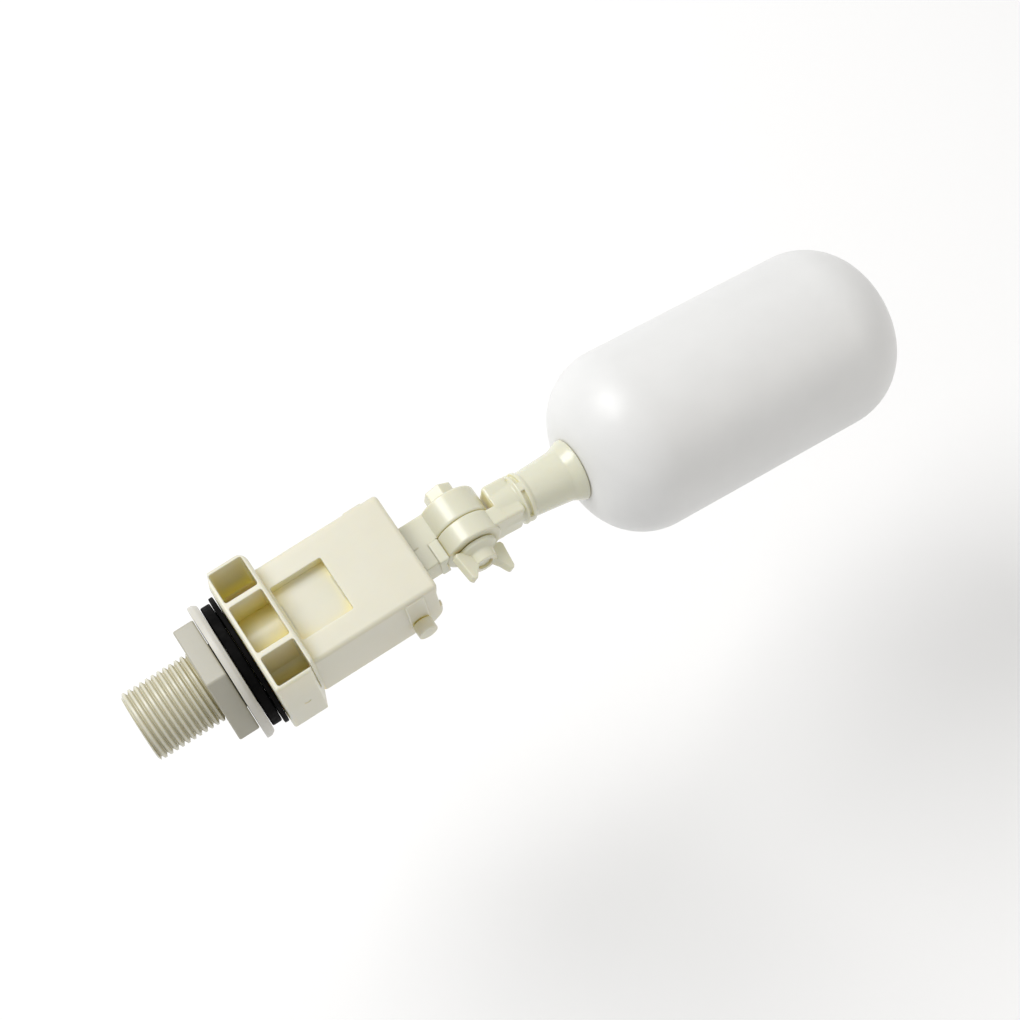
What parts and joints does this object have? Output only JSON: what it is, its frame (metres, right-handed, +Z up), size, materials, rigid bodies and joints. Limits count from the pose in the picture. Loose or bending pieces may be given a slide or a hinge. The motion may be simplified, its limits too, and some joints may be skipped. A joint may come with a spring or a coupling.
{
  "type": "float valve",
  "caption": "Side-mount plastic float valve: threaded inlet, square gasketed flange, boxed barrel with plunger, pivoting arm with wing-nut knuckle and a hollow cylindrical float.",
  "frame": {"origin": "on the inlet thread's axis, in the plane where the square flange meets the gasket", "axes": "+X along the thread's axis from the inlet towards the float, +Z up towards the box's window, +Y towards the clamp screw's head"},
  "size_m": [0.2412, 0.0542, 0.0709],
  "materials": {
    "cream_abs": "moulded ivory plastic, satin to gloss, slightly translucent",
    "pale_abs": "moulded off-white plastic, satin",
    "nut_plastic": "moulded beige plastic, satin",
    "black_rubber": "matte moulded rubber",
    "milky_polyethylene": "blow-moulded milky polyethylene, satin, translucent"
  },
  "bodies": {
    "valve": {"valve_body": "cream_abs", "gasket_thin": "black_rubber", "gasket_thick": "black_rubber", "pivot_pin": "cream_abs"},
    "washer": {"clamp_washer": "pale_abs"},
    "nut": {"lock_nut": "nut_plastic"},
    "plunger": {"plunger": "cream_abs", "plunger_seal": "black_rubber"},
    "lever": {"lever_arm": "cream_abs", "clamp_screw": "cream_abs"},
    "float": {"float_stem": "cream_abs", "float_shell": "milky_polyethylene", "float_plug": "milky_polyethylene"},
    "wing_nut": {"wing_nut": "cream_abs"}
  },
  "joints": [
    {"name": "lever_pivot", "type": "hinge", "parent": "valve", "child": "lever", "pos_m": [0.04375, 0, -0.002], "axis": [0, -1, 0], "range_deg": [0, 17]},
    {"name": "plunger_slide", "type": "slide", "parent": "valve", "child": "plunger", "axis": [1, 0, 0], "range_m": [-0.002, 0]},
    {"name": "float_angle", "type": "hinge", "parent": "lever", "child": "float", "pos_m": [0.0672, 0, -0.002], "axis": [0, -1, 0], "range_deg": [-60, 70]},
    {"name": "wing_nut_turn", "type": "hinge", "parent": "lever", "child": "wing_nut", "pos_m": [0.0672, -0.0096, -0.002], "axis": [0, -1, 0], "continuous": true},
    {"name": "nut_travel", "type": "slide", "parent": "valve", "child": "washer", "axis": [1, 0, 0], "range_m": [-0.0092, 0]},
    {"name": "nut_turn", "type": "hinge", "parent": "washer", "child": "nut", "pos_m": [-0.0113, 0, 0], "axis": [1, 0, 0], "range_deg": [-1800, 0]}
  ],
  "couplings": [
    {"joint": "plunger_slide", "follows": "lever_pivot", "m_per_rad": -0.0065},
    {"joint": "nut_travel", "follows": "nut_turn", "m_per_rad": 0.0002887}
  ]
}
